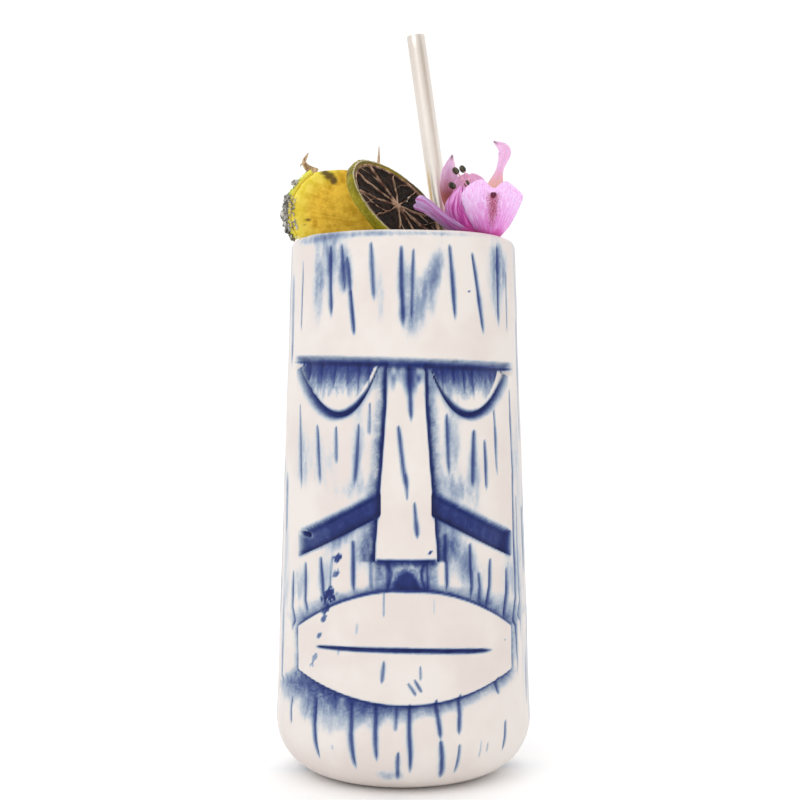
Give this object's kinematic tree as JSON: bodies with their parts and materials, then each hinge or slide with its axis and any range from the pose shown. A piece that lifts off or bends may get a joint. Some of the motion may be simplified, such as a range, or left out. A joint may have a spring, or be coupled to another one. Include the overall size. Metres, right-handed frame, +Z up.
{
  "type": "tiki mug",
  "caption": "Tall tapered ceramic tumbler with a carved stylised face, filled with crushed ice and dressed with a straw, fruit and a bloom.",
  "frame": {"origin": "centre of the flat foot, on the surface that the mug stands on", "axes": "+Z up along the mug's axis, -Y out of the middle of the face, +X to the right of a viewer who faces it"},
  "size_m": [0.0816, 0.0819, 0.2391],
  "materials": {
    "glaze": "satin off-white glaze with deep blue stain in the grooves",
    "ice": "clear and frosted crushed ice",
    "steel": "satin",
    "pineapple_flesh": "moist, fibrous",
    "pineapple_rind": "waxy",
    "dry_scale": "dry, ragged",
    "dry_leaf": "dry",
    "lime_rind": "dried peel",
    "pith": "dried pith",
    "dried_pulp": "dried, wrinkled",
    "tepal": "soft, veined",
    "filament": "soft",
    "anther": "powdery",
    "flower_green": "soft"
  },
  "bodies": {
    "mug": {"mug_shell": "glaze"},
    "ice": {"crushed_ice": "ice"},
    "straw": {"straw_tube": "steel"},
    "pineapple": {"pineapple_flesh": "pineapple_flesh", "pineapple_rind": "pineapple_rind", "pineapple_scales": "dry_scale", "pineapple_bract": "dry_leaf"},
    "lime_wheel": {"lime_rind": "lime_rind", "lime_membranes": "pith", "lime_pulp": "dried_pulp"},
    "bloom": {"tepal_front": "tepal", "tepal_left": "tepal", "tepal_inner_left": "tepal", "tepal_back": "tepal", "tepal_back_left": "tepal", "tepal_hooked": "tepal", "filaments": "filament", "anthers": "anther", "pistil": "filament", "ovary": "flower_green", "stalk": "flower_green"}
  },
  "joints": [
    {"name": "ice_float", "type": "slide", "parent": "mug", "child": "ice", "axis": [0, 0, 1], "range_m": [0, 0.006]},
    {"name": "straw_pull", "type": "slide", "parent": "ice", "child": "straw", "axis": [-0.1392, 0, 0.9903], "range_m": [0, 0.2]},
    {"name": "pineapple_lift", "type": "slide", "parent": "ice", "child": "pineapple", "axis": [0, 0, 1], "range_m": [0, 0.06]},
    {"name": "lime_wheel_pull", "type": "slide", "parent": "ice", "child": "lime_wheel", "axis": [-0.7243, -0.1197, 0.6791], "range_m": [0, 0.06]},
    {"name": "bloom_lift", "type": "slide", "parent": "ice", "child": "bloom", "axis": [0, 0, 1], "range_m": [0, 0.06]}
  ]
}
